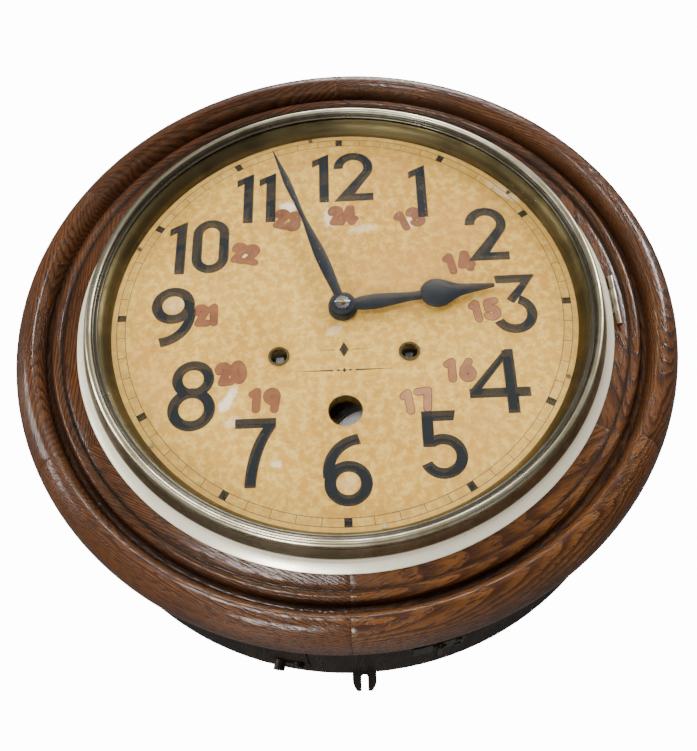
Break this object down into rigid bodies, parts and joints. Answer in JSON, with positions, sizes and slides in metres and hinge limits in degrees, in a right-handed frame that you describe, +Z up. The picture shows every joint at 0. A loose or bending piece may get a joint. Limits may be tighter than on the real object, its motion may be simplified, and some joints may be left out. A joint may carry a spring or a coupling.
{
  "type": "schoolhouse wall clock",
  "caption": "Round wall clock with a moulded wooden case, hinged glazed brass bezel, printed dial, striking spring movement, pendulum and bottom door.",
  "frame": {"origin": "on the case's axis, at the back face that lies against the wall", "axes": "+Z up, -Y out of the dial towards the reader, +X to the reader's right"},
  "size_m": [0.362, 0.1051, 0.366],
  "materials": {
    "ring_wood": "dark reddish brown varnish, worn",
    "drum_wood": "near-black brown varnish, dull",
    "board_wood": "unfinished aged wood",
    "rail_wood": "unfinished pale wood",
    "dial_paper": "aged printed paper, matte",
    "dial_metal": "dull sheet metal",
    "aged_brass": "aged, satin",
    "clock_brass": "satin",
    "hinge_metal": "worn plated steel",
    "glass": "clear",
    "blued_steel": "blued, satin",
    "steel": "polished",
    "dark_iron": "dark, dull",
    "bob_metal": "bright, lightly tarnished"
  },
  "bodies": {
    "case": {"ring_segments": "ring_wood", "case_drum": "drum_wood", "backboard": "board_wood", "backboard_screws": "aged_brass", "hanger_plate": "dark_iron", "steady_fork": "dark_iron", "plate_screws": "aged_brass", "movement_rails": "rail_wood", "dial_plate": "dial_metal", "dial_paper": "dial_paper", "dial_nails": "aged_brass", "keyhole_eyelets": "aged_brass", "bezel_hinge_leaf": "hinge_metal", "hinge_pins": "hinge_metal", "bezel_catch_spring": "aged_brass", "door_hinge_leaf": "hinge_metal", "hinge_screws": "aged_brass", "front_plate": "clock_brass", "back_plate": "clock_brass", "pillars": "clock_brass", "pillar_nuts": "clock_brass", "suspension_stud": "clock_brass", "mainsprings": "blued_steel", "gong_base": "dark_iron", "gong_coil": "blued_steel"},
    "bezel": {"bezel_ring": "aged_brass", "sight_ring": "aged_brass", "bezel_glass": "glass", "bezel_hinge_strap": "hinge_metal"},
    "door": {"bottom_door": "drum_wood", "door_hinge_strap": "hinge_metal"},
    "catch": {"door_catch": "aged_brass"},
    "minute_arbor": {"centre_wheel": "clock_brass", "cannon_pinion": "clock_brass", "minute_hand": "blued_steel", "hand_washer": "clock_brass", "taper_pin": "steel"},
    "minute_idler": {"minute_wheel": "clock_brass"},
    "hour_pipe": {"hour_wheel": "clock_brass", "hour_hand": "blued_steel"},
    "time_great": {"time_great_wheel": "clock_brass"},
    "time_arbor": {"time_winding_arbor": "steel"},
    "time_pawl": {"time_click": "steel"},
    "third": {"third_wheel": "clock_brass"},
    "escape": {"escape_wheel": "clock_brass"},
    "anchor": {"verge": "steel"},
    "pendulum": {"suspension_spring": "steel", "pendulum_rod": "clock_brass", "pendulum_bob": "bob_metal", "rating_nut": "clock_brass"},
    "strike_great": {"strike_great_wheel": "clock_brass", "count_wheel": "clock_brass"},
    "strike_arbor": {"strike_winding_arbor": "steel"},
    "strike_pawl": {"strike_click": "steel"},
    "pin": {"pin_wheel": "clock_brass"},
    "locking": {"locking_wheel": "clock_brass"},
    "warning": {"warning_wheel": "clock_brass"},
    "fly": {"fly": "steel"},
    "hammer": {"hammer": "steel"}
  },
  "joints": [
    {"name": "bezel_hinge", "type": "hinge", "parent": "case", "child": "bezel", "pos_m": [0.1486, -0.0895, 0], "axis": [0, 0, 1], "range_deg": [0, 100]},
    {"name": "bottom_door_hinge", "type": "hinge", "parent": "case", "child": "door", "pos_m": [0.04297, -0.041, -0.17233], "axis": [0, -1, 0], "range_deg": [0, 95]},
    {"name": "door_catch_turn", "type": "hinge", "parent": "case", "child": "catch", "pos_m": [-0.02964, -0.021, -0.17339], "axis": [-0.1685, 0, -0.9857], "range_deg": [0, 180]},
    {"name": "minute_spin", "type": "hinge", "parent": "case", "child": "minute_arbor", "pos_m": [0, -0.091, 0], "axis": [0, 1, 0], "continuous": true},
    {"name": "minute_idler_spin", "type": "hinge", "parent": "case", "child": "minute_idler", "pos_m": [-0.015, -0.061, 0], "axis": [0, 1, 0], "continuous": true},
    {"name": "hour_spin", "type": "hinge", "parent": "case", "child": "hour_pipe", "pos_m": [0, -0.095, 0], "axis": [0, 1, 0], "continuous": true},
    {"name": "time_great_spin", "type": "hinge", "parent": "case", "child": "time_great", "pos_m": [0.0348, -0.052, -0.028], "axis": [0, 1, 0], "continuous": true},
    {"name": "third_spin", "type": "hinge", "parent": "case", "child": "third", "pos_m": [-0.01053, -0.032, 0.02481], "axis": [0, 1, 0], "continuous": true},
    {"name": "escape_spin", "type": "hinge", "parent": "case", "child": "escape", "pos_m": [0.01394, -0.046, 0.02609], "axis": [0, 1, 0], "continuous": true},
    {"name": "pendulum_swing", "type": "hinge", "parent": "case", "child": "pendulum", "pos_m": [0.01394, -0.069, 0.05013], "axis": [0, 1, 0], "range_deg": [-5, 5]},
    {"name": "anchor_rock", "type": "hinge", "parent": "case", "child": "anchor", "pos_m": [0.01394, -0.046, 0.05013], "axis": [0, 1, 0], "range_deg": [-5, 5]},
    {"name": "time_wind", "type": "hinge", "parent": "time_great", "child": "time_arbor", "pos_m": [0.0348, -0.071, -0.028], "axis": [0, 1, 0], "continuous": true},
    {"name": "time_click_lift", "type": "hinge", "parent": "time_great", "child": "time_pawl", "pos_m": [0.0453, -0.0497, -0.04619], "axis": [0, 1, 0], "range_deg": [0, 12], "stiffness_Nm_per_rad": 0.002, "springref_deg": -5.73},
    {"name": "locking_spin", "type": "hinge", "parent": "case", "child": "locking", "pos_m": [-0.03567, -0.036, 0.03536], "axis": [0, 1, 0], "continuous": true},
    {"name": "pin_wheel_spin", "type": "hinge", "parent": "case", "child": "pin", "pos_m": [-0.04188, -0.021, 0.01218], "axis": [0, 1, 0], "continuous": true},
    {"name": "strike_great_spin", "type": "hinge", "parent": "case", "child": "strike_great", "pos_m": [-0.0348, -0.049, -0.028], "axis": [0, 1, 0], "continuous": true},
    {"name": "warning_spin", "type": "hinge", "parent": "case", "child": "warning", "pos_m": [-0.02282, -0.042, 0.05068], "axis": [0, 1, 0], "continuous": true},
    {"name": "fly_spin", "type": "hinge", "parent": "case", "child": "fly", "pos_m": [-0.00509, -0.025, 0.05381], "axis": [0, 1, 0], "continuous": true},
    {"name": "strike_wind", "type": "hinge", "parent": "strike_great", "child": "strike_arbor", "pos_m": [-0.0348, -0.071, -0.028], "axis": [0, 1, 0], "continuous": true},
    {"name": "strike_click_lift", "type": "hinge", "parent": "strike_great", "child": "strike_pawl", "pos_m": [-0.0453, -0.0517, -0.04619], "axis": [0, 1, 0], "range_deg": [0, 12], "stiffness_Nm_per_rad": 0.002, "springref_deg": -5.73},
    {"name": "hammer_swing", "type": "hinge", "parent": "case", "child": "hammer", "pos_m": [-0.058, -0.023, 0.034], "axis": [0, 1, 0], "range_deg": [-1, 3], "stiffness_Nm_per_rad": 0.3, "springref_deg": -0.26}
  ],
  "couplings": [
    {"joint": "hour_spin", "follows": "minute_spin", "ratio": 0.083333},
    {"joint": "minute_idler_spin", "follows": "minute_spin", "ratio": -0.33333},
    {"joint": "time_great_spin", "follows": "minute_spin", "ratio": -0.083333},
    {"joint": "third_spin", "follows": "minute_spin", "ratio": -11.25},
    {"joint": "escape_spin", "follows": "minute_spin", "ratio": 126.56},
    {"joint": "anchor_rock", "follows": "pendulum_swing", "ratio": 1},
    {"joint": "pin_wheel_spin", "follows": "locking_spin", "ratio": -0.11111},
    {"joint": "strike_great_spin", "follows": "locking_spin", "ratio": 0.014815},
    {"joint": "warning_spin", "follows": "locking_spin", "ratio": -9},
    {"joint": "fly_spin", "follows": "locking_spin", "ratio": 72}
  ]
}
